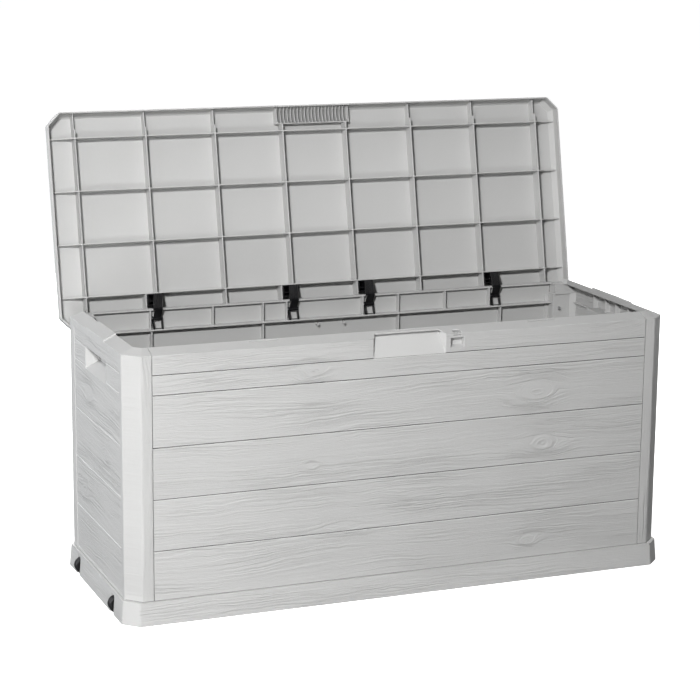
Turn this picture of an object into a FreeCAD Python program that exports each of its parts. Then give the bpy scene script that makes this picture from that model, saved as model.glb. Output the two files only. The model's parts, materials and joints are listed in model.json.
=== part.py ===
import FreeCAD, Part
import math
import os

from FreeCAD import Vector

# Deck storage box of moulded resin panels, stored with its lid open against the hinge stops.
# Origin: centre of the footprint on the ground. +X to the right, -Y to the front, +Z up. Millimetres.

# Overall sizes
box_width = 1170.0          # base skirt along X
box_depth = 452.0           # base skirt along Y
rim_height = 527.0          # outer edge of the body's rim above the ground
skirt_height = 45.7         # height of the base skirt
lid_thickness = 33.0        # lid skirt edge to lid top
lid_open_deg = 101.8        # lid travel from closed to its stop

# Base tray
skirt_draft = 4.0           # how far the skirt leans in over its height
skirt_chamfer = 29.5        # corner cut of the skirt
skirt_wall = 3.5
tray_wall = 3.0
tray_shelf = 3.2            # thickness of the shelf that the panels stand on
tray_floor_z = 14.0         # underside of the floor plate
tray_well_margin = 41.0     # skirt foot to the inner wall of the tray
tray_rib = 3.0
tray_ribs_x = 9             # cross ribs under the floor
tray_ribs_y = 3             # long ribs under the floor
foot_radius = 15.0
rail_height = 14.0          # upstand behind the feet of the panels
rail_wall = 3.0
fit_gap = 0.3               # clearance between pieces that slide together

# Body panels
body_inset = 8.4            # body face behind the foot of the skirt
body_chamfer = 29.0
panel_wall = 3.2
post_width = 50.75          # how far an end panel wraps onto the front and the back
panel_gap = 1.0             # open joint between a long panel and a corner post
rim_width = 26.5            # outer edge of the rim to its inner lip
rim_rise = 11.0             # inner lip above the outer edge
rim_sheet = 3.0
lip_wall = 2.8
lip_depth = 12.0
plank_pitch = 101.73        # main planks
band_height = 39.0          # the two narrow bands above the planks
groove_width = 3.2
groove_depth = 1.5
panel_foot_gap = 2.3        # ribs stay this far above the rail
back_flange_depth = 12.6
back_rib_drop = 41.7        # top of the long rib inside the back wall, below the rim
back_rib_depth = 20.6
back_rib_wall = 3.0
stiff_wall = 2.4
stiff_depth = 15.0
back_stiff_x = (155.0, 400.0)
front_stiff_x = (225.0, 375.0)
stub_x = (155.0, 266.0)     # short stiffeners above the long rib
stub_beside_hinge = 15.0
peg_x = 30.0
peg_radius = 3.0

# Front finger recess and padlock pocket
recess_half = 77.0
recess_drop = 41.0          # foot of the recess below the rim
recess_depth = 17.6
recess_splay = 9.0
recess_wall = 2.6
lock_x = 102.4
lock_width = 28.0
lock_drop = 29.5            # foot of the padlock pocket below the rim
lock_depth = 12.0
lock_bar_drop = 9.0
lock_bar = 4.0
lock_notch_radius = 8.5
slot_pitch = 296.0          # three long slots in the front lip
slot_length = 60.0
slot_width = 3.6
slot_edge = 3.2

# End panels
field_margin_front = 44.6   # plain frame in front of the grained field
field_margin_back = 59.6
field_sink = 1.2
handle_half = 75.5
handle_drop = 37.5          # top of the handle pocket below the rim
handle_height = 46.0
handle_depth = 29.0
handle_floor_rise = 17.0
handle_splay = 6.0
handle_wall = 2.6
hump_half = 60.0            # raised middle of the end rims
hump_rise = 3.2
hump_ramp = 9.0
end_stub_y = (22.0, 76.0)

# Corner columns and their screws
column_overlap = 3.85       # column starts this far behind the long panel
column_depth = 29.0         # body face to the column's plate
column_corner = 13.75       # end face to the edge of the plate
column_wall = 2.8
column_cap = 21.5           # height of the thicker head
tongue_length = 20.0
tongue_wall = 3.3
tongue_slot_gap = 0.4
screw_inset = 12.15         # screws beyond the long panel's edge
screw_rise = 66.3           # lower screws above the skirt
screw_drop = 56.0           # upper screws below the rim
screw_radius = 1.95
screw_head_radius = 4.2
screw_head_height = 2.5
boss_radius = 5.0
hole_gap = 0.05             # radial clearance of shafts in their holes

# Lid, sized in its closed place
lid_overhang_x = 7.6        # lid skirt outside the body, at the ends
lid_overhang_y = 6.8        # lid skirt outside the body, at the front and the back
lid_chamfer = 26.0
lid_wall = 3.0
lid_skin = 3.2
lid_band = 20.0             # upright edge of the lid
lid_crown = 9.0             # how far the sloped edge above it leans in
lid_rib = 2.4
lid_rib_sink = 3.0          # rib edges above the skirt edge
lid_ribs_across = 4         # cross ribs on each side of the middle
lid_rib_first = 72.5        # innermost cross rib from the middle
lid_rib_end = 57.2          # outermost cross rib from the end of the lid
lid_ribs_along = 4
lid_rib_rear = 67.5         # rearmost long rib from the rear edge
lid_rib_front = 53.8        # foremost long rib from the front edge
lid_rest_gap = 0.5          # closed lid above the body's lip
lid_groove_y = (-112.0, 0.0, 112.0)
grip_depth = 37.8           # front edge of the lid to the wall behind the fins
grip_cheek = 2.5            # outermost fin to the cheek beside it
grip_fin = 1.6
grip_pitch = 8.0
grip_fins = 21
grip_scoop = 5.0
grip_notch = 3.0            # the front skirt is shorter along the grip
eye_radius = 4.0

# Hinges
pivot_drop = 20.3           # hinge axis below the rim
hinge_x = (-387.0, -87.0, 87.0, 387.0)
pin_radius = 2.0
pin_length = 24.0
barrel_radius = 4.4
barrel_half = 7.7
barrel_shift = 1.2          # barrel centre beside the nominal hinge line
ear_wall = 2.4
ear_set_back = 1.5          # ears behind the free edge of the long rib
ear_leg = 7.0               # depth of a leg where it stands on the rib
ear_bridge = 3.0            # strip behind the legs that joins them
ear_bridge_wall = 1.2
ear_gap = 0.4
barrel_gap = 0.3            # barrel to the inside of the back wall
ear_radius = 5.2
arm_inner_radius = 24.5
arm_outer_radius = 29.5
arm_half = 10.0
arm_shift = 3.0
arm_lean = 0.33             # sideways lean of the arm for each mm of run
arm_rib = 2.0
arm_ribs = 5
arm_channel = 1.6
arm_spoke_deg = 118.0
arm_end_deg = 41.0
clip_low_s = 42.0           # foot of the clip block, from the rear edge of the lid
clip_rib_gap = 0.3          # clip block to the rearmost long rib
clip_left = -10.0
clip_right = 4.0
clip_face = 2.0             # clip face above the skirt-edge plane
clip_frame = 2.2

# Wheels
wheel_y = (-127.0, 127.0)
wheel_radius = 17.0
wheel_width = 18.0
wheel_lift = 1.0            # wheel above the ground when the box stands
wheel_stand_out = 6.0       # wheel tread outside the foot of the skirt
wheel_edge = 2.5
wheel_side_gap = 2.0
wheel_bore_radius = 4.05
wheel_top_gap = 3.0
arch_wall = 3.0
arch_corner = 3.5

# Values worked out from those above
ROOT2 = math.sqrt(2.0)
tray_outline = (box_width / 2, box_depth / 2, skirt_chamfer)
body_half_x = box_width / 2 - body_inset
body_half_y = box_depth / 2 - body_inset
body_outline = (body_half_x, body_half_y, body_chamfer)
panel_face_y = body_half_y - panel_wall
post_edge = body_half_x - post_width
panel_foot_z = skirt_height
recess_foot_z = rim_height - recess_drop
lock_foot_z = rim_height - lock_drop
lock_bar_z = rim_height - lock_bar_drop
back_rib_height = rim_height - back_rib_drop
handle_top_z = rim_height - handle_drop
handle_foot_z = handle_top_z - handle_height
column_x = post_edge - column_overlap
column_plate_y = body_half_y - column_depth
column_plate_end = body_half_x - column_corner
column_top_z = rim_height - column_cap
screw_x = post_edge + screw_inset
screw_z = (skirt_height + screw_rise, rim_height - screw_drop)
lip_top_z = rim_height + rim_rise
rib_foot_z = skirt_height + rail_height + panel_foot_gap
groove_z = [rim_height - band_height * k for k in (1, 2)]
groove_z += [groove_z[1] - plank_pitch * k for k in (1, 2, 3)]
lid_rear_y = body_half_y + lid_overhang_y
lid_outline = (body_half_x + lid_overhang_x, lid_rear_y, lid_chamfer)
lid_top_z = rim_height + lid_thickness
lid_under_z = lid_top_z - lid_skin
lid_rib_z = rim_height + lid_rib_sink
lid_full_ribs = (1, 3)
lid_rib_pitch_x = (lid_outline[0] - lid_rib_end - lid_rib_first) / (lid_ribs_across - 1)
lid_rib_x = [lid_rib_first + k * lid_rib_pitch_x for k in range(lid_ribs_across)]
lid_rib_pitch_s = (2 * lid_rear_y - lid_rib_front - lid_rib_rear) / (lid_ribs_along - 1)
lid_rib_s = [lid_rib_rear + k * lid_rib_pitch_s for k in range(lid_ribs_along)]
grip_half = (grip_fins - 1) / 2 * grip_pitch + grip_cheek
grip_back_s = 2 * lid_rear_y - grip_depth
clip_high_s = lid_rib_rear - lid_rib / 2 - clip_rib_gap
pivot_y = panel_face_y - barrel_gap - barrel_radius
pivot_z = rim_height - pivot_drop
pivot = Vector(0, pivot_y, pivot_z)
wheel_x = -(box_width / 2 + wheel_stand_out - wheel_radius)
wheel_z = wheel_radius + wheel_lift
axle_radius = wheel_bore_radius - hole_gap
arch_height = wheel_lift + 2 * wheel_radius + wheel_top_gap


def box(x, y, z):
    """Block between pairs of limits."""
    return Part.makeBox(x[1] - x[0], y[1] - y[0], z[1] - z[0], Vector(x[0], y[0], z[0]))


def inset(outline, distance):
    """The same chamfered rectangle, moved in by a distance on every side."""
    half_x, half_y, chamfer = outline
    return (half_x - distance, half_y - distance, chamfer - distance * (2 - ROOT2))


def outline_wire(outline, z):
    """Chamfered rectangle as a closed wire at a height."""
    hx, hy, c = outline
    corners = [(hx - c, -hy), (hx, c - hy), (hx, hy - c), (hx - c, hy)]
    corners += [(c - hx, hy), (-hx, hy - c), (-hx, c - hy), (c - hx, -hy)]
    points = [Vector(x, y, z) for x, y in corners]
    return Part.makePolygon(points + points[:1])


def prism(outline, z):
    """Upright block on a chamfered rectangle."""
    return Part.Face(outline_wire(outline, z[0])).extrude(Vector(0, 0, z[1] - z[0]))


def taper(low, low_z, high, high_z):
    """Block whose outline changes evenly with height."""
    return Part.makeLoft([outline_wire(low, low_z), outline_wire(high, high_z)], True, True)


def extrude_yz(points, x):
    """Profile given as (y, z) pairs, run along X."""
    wire = Part.makePolygon([Vector(x[0], y, z) for y, z in points + points[:1]])
    return Part.Face(wire).extrude(Vector(x[1] - x[0], 0, 0))


def extrude_xz(points, y):
    """Profile given as (x, z) pairs, run along Y."""
    wire = Part.makePolygon([Vector(px, y[0], z) for px, z in points + points[:1]])
    return Part.Face(wire).extrude(Vector(0, y[1] - y[0], 0))


def extrude_xy(points, z):
    """Plan given as (x, y) pairs, run upwards."""
    wire = Part.makePolygon([Vector(px, py, z[0]) for px, py in points + points[:1]])
    return Part.Face(wire).extrude(Vector(0, 0, z[1] - z[0]))


def rod_x(y, z, radius, x):
    """Round bar along X."""
    return Part.makeCylinder(radius, x[1] - x[0], Vector(x[0], y, z), Vector(1, 0, 0))


def rod_y(x, z, radius, y):
    """Round bar along Y."""
    return Part.makeCylinder(radius, y[1] - y[0], Vector(x, y[0], z), Vector(0, 1, 0))


def join(shapes):
    """One solid from overlapping shapes."""
    return shapes[0].multiFuse(shapes[1:]).removeSplitter()


def flip_x(shape):
    return shape.mirror(Vector(0, 0, 0), Vector(1, 0, 0))


def flip_y(shape):
    return shape.mirror(Vector(0, 0, 0), Vector(0, 1, 0))


def save(name, shape):
    """Writes one node."""
    shape.exportStep("parts/" + name + ".step")


# Base tray ------------------------------------------------------------------------------------

def tray_shell():
    """Drafted skirt, shelf, inner wall and floor of the base, open below."""
    top_outline = inset(tray_outline, skirt_draft)
    outer = taper(tray_outline, 0, top_outline, skirt_height)
    well = inset(tray_outline, tray_well_margin)
    well_body = prism(inset(well, -tray_wall), (tray_floor_z, skirt_height + 1))
    inner_foot = inset(tray_outline, skirt_wall)
    inner_top = inset(top_outline, skirt_wall)
    under = taper(inner_foot, -0.01, inner_top, skirt_height - tray_shelf).cut(well_body)
    return outer.cut(under).cut(prism(well, (tray_floor_z + tray_wall, skirt_height + 1)))


def tray_under_ribs():
    """Grid of ribs under the floor and the round centre foot."""
    reach_x = box_width / 2 - skirt_wall
    reach_y = box_depth / 2 - skirt_wall
    z = (0, tray_floor_z + 0.5)
    ribs = [Part.makeCylinder(foot_radius, z[1])]
    for k in range(tray_ribs_x):
        x = (k - (tray_ribs_x - 1) / 2) * 2 * reach_x / (tray_ribs_x + 1)
        ribs.append(box((x - tray_rib / 2, x + tray_rib / 2), (-reach_y - 1, reach_y + 1), z))
    for k in range(tray_ribs_y):
        y = (k - (tray_ribs_y - 1) / 2) * 2 * reach_y / (tray_ribs_y + 1)
        ribs.append(box((-reach_x - 1, reach_x + 1), (y - tray_rib / 2, y + tray_rib / 2), z))
    return ribs


def tray_rail():
    """Low upstand that the feet of the panels stand against."""
    outer = inset(body_outline, panel_wall + fit_gap)
    z = (skirt_height - 0.5, skirt_height + rail_height)
    return prism(outer, z).cut(prism(inset(outer, rail_wall), z))


def wheel_arch_void(y):
    """Rounded opening through the left end of the skirt for one wheel."""
    half = wheel_width / 2 + wheel_side_gap
    inner = wheel_x + wheel_radius + wheel_side_gap
    outer = -(box_width / 2 + 1)
    c = arch_corner
    top = arch_height
    profile = [(y - half, -1), (y + half, -1), (y + half, top - c), (y + half - c, top)]
    profile += [(y - half + c, top), (y - half, top - c)]
    return extrude_yz(profile, (outer, inner))


def wheel_arch_walls(y):
    """Cheeks and back of one wheel opening, under the shelf."""
    half = wheel_width / 2 + wheel_side_gap + arch_wall
    inner = wheel_x + wheel_radius + wheel_side_gap + arch_wall
    block = box((-box_width / 2, inner), (y - half, y + half), (0, skirt_height - tray_shelf + 0.5))
    return block.common(taper(tray_outline, 0, inset(tray_outline, skirt_draft), skirt_height))


def base_tray():
    shape = join([tray_shell(), tray_rail()] + tray_under_ribs() + [wheel_arch_walls(y) for y in wheel_y])
    for y in wheel_y:
        shape = shape.cut(wheel_arch_void(y))
        reach = axle_half_length()
        shape = shape.cut(rod_y(wheel_x, wheel_z, wheel_bore_radius, (y - reach, y + reach)))
    return shape.removeSplitter()


# Wheels ---------------------------------------------------------------------------------------

def axle_half_length():
    return wheel_width / 2 + wheel_side_gap + arch_wall


def wheel(y):
    """Small solid wheel with rounded shoulders and dished faces."""
    half = wheel_width / 2
    shape = rod_y(wheel_x, wheel_z, wheel_radius, (y - half, y + half))
    rims = [e for e in shape.Edges if isinstance(e.Curve, Part.Circle)]
    shape = shape.makeFillet(wheel_edge, rims)
    for side in (-1, 1):
        face = sorted((y + side * (half - 1.5), y + side * (half + 1)))
        dish = rod_y(wheel_x, wheel_z, wheel_radius * 0.72, face)
        hub = rod_y(wheel_x, wheel_z, wheel_bore_radius + 3.0, face)
        shape = shape.cut(dish.cut(hub))
    return shape.cut(rod_y(wheel_x, wheel_z, wheel_bore_radius, (y - half - 1, y + half + 1)))


def axle(y):
    """Steel pin held in the cheeks of one wheel opening."""
    reach = axle_half_length()
    return rod_y(wheel_x, wheel_z, axle_radius, (y - reach, y + reach))


# Body panels ----------------------------------------------------------------------------------

def wall_ring():
    """Skin of all four sides, before it is shared out between the panels."""
    z = (panel_foot_z, rim_height - rim_sheet / 2)
    return prism(body_outline, z).cut(prism(inset(body_outline, panel_wall), z))


def rim_ring():
    """Sloped rim with its turned-down inner lip."""
    inner = inset(body_outline, rim_width)
    drop = rim_sheet
    top = taper(body_outline, rim_height, inner, lip_top_z)
    below = taper(body_outline, rim_height - drop, inner, lip_top_z - drop)
    edge = prism(body_outline, (rim_height - drop, rim_height))
    hollow = prism(inner, (rim_height - lip_depth, lip_top_z + 1))
    sheet = join([top, edge]).cut(below).cut(hollow)
    lip = prism(inset(inner, -lip_wall), (lip_top_z - lip_depth, lip_top_z)).cut(hollow)
    return join([sheet, lip.common(join([top, prism(body_outline, (0, rim_height))]))])


def groove_cutters_front():
    """V grooves between the planks, along the front face."""
    y = -body_half_y
    reach = (-post_edge - 1, post_edge + 1)
    half = groove_width / 2
    cutters = []
    for z in groove_z:
        profile = [(y - 1, z - half - 1), (y - 1, z + half + 1), (y, z + half)]
        profile += [(y + groove_depth, z), (y, z - half)]
        cutters.append(extrude_yz(profile, reach))
    return cutters


def tongues():
    """Side tongues of the front panel, which slide behind the corner posts, with screw bosses."""
    shapes = []
    y = (-panel_face_y + fit_gap, -panel_face_y + fit_gap + tongue_wall)
    post_in = post_edge - 12.0
    z = (rib_foot_z, column_top_z - 6.0)
    blade = box((post_in, post_edge + tongue_length), y, z)
    web = box((post_in, post_edge - panel_gap), (-panel_face_y - 0.5, y[1]), z)
    boss_face = -(column_plate_y + column_wall + fit_gap)
    for shape in (blade, web):
        shapes += [shape, flip_x(shape)]
    for level in screw_z:
        boss = rod_y(screw_x, level, boss_radius, (y[0], boss_face))
        shapes += [boss, flip_x(boss)]
    return shapes


def tongue_holes():
    """Blind screw holes in the bosses of the tongues."""
    holes = []
    for level in screw_z:
        hole_run = (-panel_face_y + fit_gap + 1.2, -column_plate_y)
        hole = rod_y(screw_x, level, screw_radius + hole_gap, hole_run)
        holes += [hole, flip_x(hole)]
    return holes


def recess_profile(grow):
    """Side view of the finger recess, grown outward by a wall."""
    face = -body_half_y
    back = face + recess_depth + grow
    foot = recess_foot_z - grow
    top = lip_top_z + 2
    return [(face - 2, foot), (face + grow * 0.5, foot), (back, rim_height), (back, top), (face - 2, top)]


def recess_plan(grow):
    """Top view of the finger recess, with splayed sides."""
    face = -body_half_y
    wide = recess_half + grow
    narrow = wide - recess_splay
    back = face + recess_depth + grow
    front = [(-wide, face - 2), (wide, face - 2), (wide, face)]
    return front + [(narrow, back), (-narrow, back), (-wide, face)]


def recess_form(grow):
    """The finger recess as a solid form."""
    reach = recess_half + grow
    side = extrude_yz(recess_profile(grow), (-reach, reach))
    return side.common(extrude_xy(recess_plan(grow), (recess_foot_z - grow, lip_top_z + 2)))


def lock_block():
    """Box behind the padlock pocket."""
    half = lock_width / 2 + recess_wall
    back = -body_half_y + lock_depth + recess_wall
    z = (lock_foot_z - recess_wall, rim_height - 1)
    return box((lock_x - half, lock_x + half), (-panel_face_y - 0.5, back), z)


def lock_void():
    """Padlock pocket with its flared foot, and the round notch through the rim above the bar."""
    face = -body_half_y
    x = (lock_x - lock_width / 2, lock_x + lock_width / 2)
    foot = lock_foot_z
    back = face + lock_depth
    profile = [(face - 1, foot - 0.4), (face, foot), (back, foot + 5)]
    profile += [(back, lock_bar_z), (face - 1, lock_bar_z)]
    pocket = extrude_yz(profile, x)
    behind_bar = box(x, (face + lock_bar, back), (lock_bar_z - 1, lock_bar_z + lock_bar + 1))
    notch_x = (lock_x - lock_notch_radius, lock_x + lock_notch_radius)
    notch_z = (lock_bar_z + lock_bar, lip_top_z)
    notch = box(notch_x, (face - 1, back), notch_z)
    return join([pocket, behind_bar, notch])


def lip_slots():
    """Long narrow slots through the front rim, just outside its inner lip."""
    inner = -(body_half_y - rim_width)
    y = (inner - slot_edge - slot_width, inner - slot_edge)
    half = slot_length / 2
    z = (rim_height - 2, lip_top_z + 1)
    return [box((x - half, x + half), y, z) for x in (-slot_pitch, 0, slot_pitch)]


def long_panel_region():
    """Where the front panel's skin and rim lie."""
    reach = post_edge - panel_gap
    return box((-reach, reach), (-body_half_y - 1, -body_half_y / 2), (0, lip_top_z + 1))


def front_stiffeners():
    z = (rib_foot_z, rim_height - 1)
    y = (-panel_face_y - 0.5, -panel_face_y + stiff_depth)
    ribs = []
    for x in front_stiff_x:
        rib = box((x - stiff_wall / 2, x + stiff_wall / 2), y, z)
        ribs += [rib, flip_x(rib)]
    return ribs


def front_panel():
    region = long_panel_region()
    parts = [wall_ring().common(region), rim_ring().common(region), lock_block()]
    parts.append(recess_form(recess_wall).common(prism(body_outline, (0, rim_height + 1))))
    shape = join(parts + front_stiffeners() + tongues())
    shape = shape.cut(recess_form(0)).cut(lock_void())
    for cutter in groove_cutters_front() + lip_slots() + tongue_holes():
        shape = shape.cut(cutter)
    return shape.removeSplitter()


def back_ribs():
    """Flange, long rib, stiffeners and pegs inside the back wall."""
    reach = post_edge - panel_gap
    wall = panel_face_y + 0.5
    flange_y = (body_half_y - back_flange_depth, body_half_y)
    shapes = [box((-reach, reach), flange_y, (rim_height - rim_sheet, rim_height))]
    rib_z = (back_rib_height - back_rib_wall, back_rib_height)
    rib_y = (body_half_y - back_rib_depth, wall)
    shapes.append(box((-column_x + 1, column_x - 1), rib_y, rib_z))
    stubs = list(stub_x) + [-x for x in stub_x] + [x - stub_beside_hinge for x in hinge_x]
    for x in stubs:
        stub_y = (body_half_y - back_flange_depth - 4.0, wall)
        shapes.append(box((x - stiff_wall / 2, x + stiff_wall / 2), stub_y, (rib_z[1] - 1, rim_height - 1)))
    for x in back_stiff_x:
        for side in (-1, 1):
            rib_x = (side * x - stiff_wall / 2, side * x + stiff_wall / 2)
            shapes.append(box(rib_x, (wall - stiff_depth, wall), (rib_foot_z, rib_z[0] + 1)))
    for side in (-1, 1):
        shapes.append(rod_y(side * peg_x, back_rib_height - 15.0, peg_radius, (wall - 11.0, wall)))
    return shapes


def back_panel():
    region = flip_y(long_panel_region())
    parts = [wall_ring().common(region)] + back_ribs() + [flip_y(t) for t in tongues()]
    shape = join(parts)
    for cutter in groove_cutters_front() + tongue_holes():
        shape = shape.cut(flip_y(cutter))
    return shape.removeSplitter()


# End panels -----------------------------------------------------------------------------------

def handle_form(grow):
    """Scooped handle pocket in the right end as a solid form."""
    face = body_half_x
    back = face - handle_depth - grow
    low = handle_foot_z - grow
    high = handle_top_z + grow
    wide = handle_half + grow
    side = [(face + 2, low), (face, low), (back, low + handle_floor_rise), (back, high), (face + 2, high)]
    plan = [(face + 2, -wide), (face + 2, wide), (face, wide), (back, wide - handle_splay)]
    plan += [(back, handle_splay - wide), (face, -wide)]
    return extrude_xz(side, (-wide, wide)).common(extrude_xy(plan, (low, high)))


def end_field_void():
    """Shallow sunk field with the plank grooves in its floor."""
    face = body_half_x
    sunk = face - field_sink
    y = (field_margin_front - body_half_y, body_half_y - field_margin_back)
    cutters = [box((sunk, face + 1), y, (skirt_height + 6, rim_height - 14))]
    half = groove_width / 2
    for z in groove_z:
        profile = [(face + 1, z - half - 1), (face + 1, z + half + 1), (sunk, z + half)]
        profile += [(sunk - groove_depth * 0.8, z), (sunk, z - half)]
        cutters.append(extrude_xz(profile, y))
    return join(cutters)


def end_region():
    """Where the right end panel's skin lies, with its wraps onto the front and the back."""
    return box((post_edge, body_half_x + 1), (-body_half_y - 1, body_half_y + 1), (0, lip_top_z + 1))


def column(top):
    """Closed corner column inside the rear right corner, below a height."""
    end_face = body_half_x - panel_wall
    lean = end_face - column_plate_end
    side_end = panel_face_y - fit_gap - tongue_wall - tongue_slot_gap
    outer = [(column_x, side_end), (column_x, column_plate_y), (column_plate_end, column_plate_y)]
    outer.append((end_face + 0.5, column_plate_y - lean))
    outer.append((end_face + 0.5, column_plate_y - lean + column_wall * ROOT2))
    outer.append((column_plate_end, column_plate_y + column_wall))
    outer.append((column_x + column_wall, column_plate_y + column_wall))
    outer.append((column_x + column_wall, side_end))
    return extrude_xy(outer, (rib_foot_z, top))


def column_cap():
    """Thicker head of the rear corner column, closed under the rim."""
    x = (column_x + 4.0, body_half_x - panel_wall + 0.5)
    y = (column_plate_y - 3.0, body_half_y)
    z = (column_top_z - 2.5, rim_height)
    block = box(x, y, z).common(prism(body_outline, (0, rim_height)))
    hollow = inset(body_outline, panel_wall - 0.1)
    inside = box((x[0] + 2.6, x[1] + 5), (y[0] + 2.6, y[1]), (column_top_z, rim_height - rim_sheet))
    return block.cut(inside.common(prism(hollow, (0, rim_height))))


def end_rim():
    """Sloped rim of the right end, with its raised middle, and the flat rear corner."""
    rear_stop = column_plate_y - 3.0
    front = box((post_edge, body_half_x + 1), (-body_half_y - 1, rear_stop), (0, lip_top_z + 1))
    rim = rim_ring().common(front)
    half = hump_half
    ramp = hump_ramp
    inner_x = body_half_x - rim_width
    low = [(body_half_x, rim_height - 1), (inner_x, lip_top_z - 1), (inner_x, lip_top_z + hump_rise)]
    low.append((body_half_x, rim_height + hump_rise))
    raised = extrude_xz(low, (-half - ramp, half + ramp))
    limit = lip_top_z + hump_rise + 1
    plan = [(-half - ramp, rim_height - 2), (-half, limit), (half, limit), (half + ramp, rim_height - 2)]
    return [rim, raised.common(extrude_yz(plan, (inner_x - 1, body_half_x + 1)))]


def end_inner_ribs():
    """Ledge and short stiffeners inside the right end."""
    wall = body_half_x - panel_wall + 0.5
    ledge_x = (wall - 4.5, wall)
    shapes = []
    for side in (-1, 1):
        ledge_y = sorted((side * (handle_half + 1), side * (column_plate_y - 8.0)))
        shapes.append(box(ledge_x, ledge_y, (back_rib_height - back_rib_wall, back_rib_height)))
        for y in end_stub_y:
            stub = box((wall - 12.0, wall), (side * y - stiff_wall / 2, side * y + stiff_wall / 2),
                       (handle_top_z + 1, rim_height - 1))
            shapes.append(stub)
    return shapes


def right_end_panel():
    parts = [wall_ring().common(end_region())] + end_rim() + end_inner_ribs()
    parts += [column(column_top_z), flip_y(column(rim_height - 1)), column_cap()]
    parts.append(handle_form(handle_wall).common(prism(body_outline, (0, rim_height))))
    shape = join(parts)
    shape = shape.cut(end_field_void()).cut(handle_form(0))
    for level in screw_z:
        for side in (-1, 1):
            reach = sorted((side * (column_plate_y - 1), side * (column_plate_y + column_wall + 1)))
            shape = shape.cut(rod_y(screw_x, level, screw_radius + hole_gap, reach))
    return shape.removeSplitter()


def corner_screws():
    """Eight pan-head screws, two in each corner column."""
    screws = []
    tip = panel_face_y - fit_gap - 2.0
    for x in (-screw_x, screw_x):
        for level in screw_z:
            head = rod_y(x, level, screw_head_radius, (column_plate_y - screw_head_height, column_plate_y))
            screw = head.fuse(rod_y(x, level, screw_radius, (column_plate_y - 0.5, tip)))
            slot_y = (column_plate_y - 3, column_plate_y - 1.6)
            slot = box((x - 3, x + 3), slot_y, (level - 0.5, level + 0.5))
            screw = screw.cut(slot).removeSplitter()
            screws += [screw, flip_y(screw)]
    return Part.makeCompound(screws)


# Lid ------------------------------------------------------------------------------------------

def lid_form(distance, top_z):
    """Lid shape, moved in from its outer faces by a distance, under a height."""
    low = inset(lid_outline, distance)
    band_z = rim_height + lid_band
    high = inset(low, lid_crown)
    start = rim_height - (0.5 if distance else 0.0)
    return join([prism(low, (start, band_z)), taper(low, band_z, high, top_z)])


def lid_s(s):
    """Y of a line at a distance from the rear edge of the closed lid."""
    return lid_rear_y - s


def lid_ribs():
    """Rib grid of the underside, with its edges lowered where the body's lip comes up."""
    half = lid_rib / 2
    z = (lid_rib_z, lid_under_z + 1)
    wide = lid_outline[0] - 1
    rear = lid_rear_y - 1
    shapes = []
    for k, x in enumerate(lid_rib_x):
        start = rear if k in lid_full_ribs else lid_s(lid_rib_s[0])
        end = -lid_s(grip_back_s) if x < grip_half else rear
        for side in (-1, 1):
            shapes.append(box((side * x - half, side * x + half), (-end, start), z))
    for s in lid_rib_s:
        shapes.append(box((-wide, wide), (lid_s(s) - half, lid_s(s) + half), z))
    for x in hinge_x:
        left = x + clip_left - 1.2
        shapes.append(box((left - lid_rib, left), (lid_s(lid_rib_s[0]), rear), z))
    return join(shapes).common(lid_form(lid_wall / 2, lid_under_z + 1))


def lip_clearance():
    """Space that the body's lip and raised rims need inside the closed lid."""
    low = rim_height - 1
    rest = lip_top_z + lid_rest_gap
    wide = lid_outline[0]
    front = box((-wide, wide), (-lid_rear_y, -(body_half_y - rim_width - 2.0)), (low, rest))
    inner_x = body_half_x - rim_width
    tall = lip_top_z + hump_rise + lid_rest_gap
    profile = [(inner_x - 20, low), (inner_x - 20, lid_rib_z), (inner_x - 3, tall)]
    profile += [(wide, tall + 6), (wide, low)]
    end = extrude_xz(profile, (-lid_rear_y, lid_rear_y))
    return [front, end, flip_x(end)]


def lid_grip():
    """Row of fins under the front edge with scooped edges, and the wall behind them."""
    front = -lid_rear_y + lid_wall / 2
    back = lid_s(grip_back_s)
    low = lip_top_z + lid_rest_gap
    half = grip_fin / 2
    fins = []
    for k in range(grip_fins):
        x = (k - (grip_fins - 1) / 2) * grip_pitch
        fins.append(box((x - half, x + half), (front, back), (low, lid_under_z + 1)))
    chord = (back - front) / 2
    radius = (chord * chord + grip_scoop * grip_scoop) / (2 * grip_scoop)
    scoop = rod_x((front + back) / 2, low + grip_scoop - radius, radius, (-grip_half, grip_half))
    row = join(fins + [box((-grip_half, grip_half), (back - half, back + half), (low, lid_under_z + 1))])
    cheeks = []
    for side in (-1, 1):
        x = side * grip_half
        cheeks.append(box((x - half, x + half), (front, back + half), (low, lid_under_z + 1)))
    return join([row.cut(scoop)] + cheeks)


def lid_outer_grooves():
    """Plank grooves across the top of the lid."""
    top = lid_top_z
    half = groove_width / 2
    reach = (-(lid_outline[0] - lid_crown - 4), lid_outline[0] - lid_crown - 4)
    cutters = []
    for y in lid_groove_y:
        profile = [(y - half - 1, top + 1), (y - half, top), (y, top - groove_depth)]
        profile += [(y + half, top), (y + half + 1, top + 1)]
        cutters.append(extrude_yz(profile, reach))
    return cutters


def opened(shape):
    """Turns a piece from its closed place to the open stop."""
    turned = shape.copy()
    turned.rotate(pivot, Vector(1, 0, 0), -lid_open_deg)
    return turned


def lid():
    shell = lid_form(0, lid_top_z).cut(lid_form(lid_wall, lid_under_z))
    ribs = lid_ribs()
    for space in lip_clearance():
        ribs = ribs.cut(space)
    shape = join([shell, ribs, lid_grip()])
    front = (-lid_rear_y - 1, -lid_rear_y + lid_wall + 0.5)
    notch = box((-grip_half, grip_half), front, (rim_height - 1, rim_height + grip_notch))
    eye = rod_y(lock_x, rim_height + 8.0, eye_radius, front)
    for cutter in lid_outer_grooves() + [notch, eye]:
        shape = shape.cut(cutter)
    return opened(shape.removeSplitter())


# Hinges, drawn at the open stop ---------------------------------------------------------------

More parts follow.
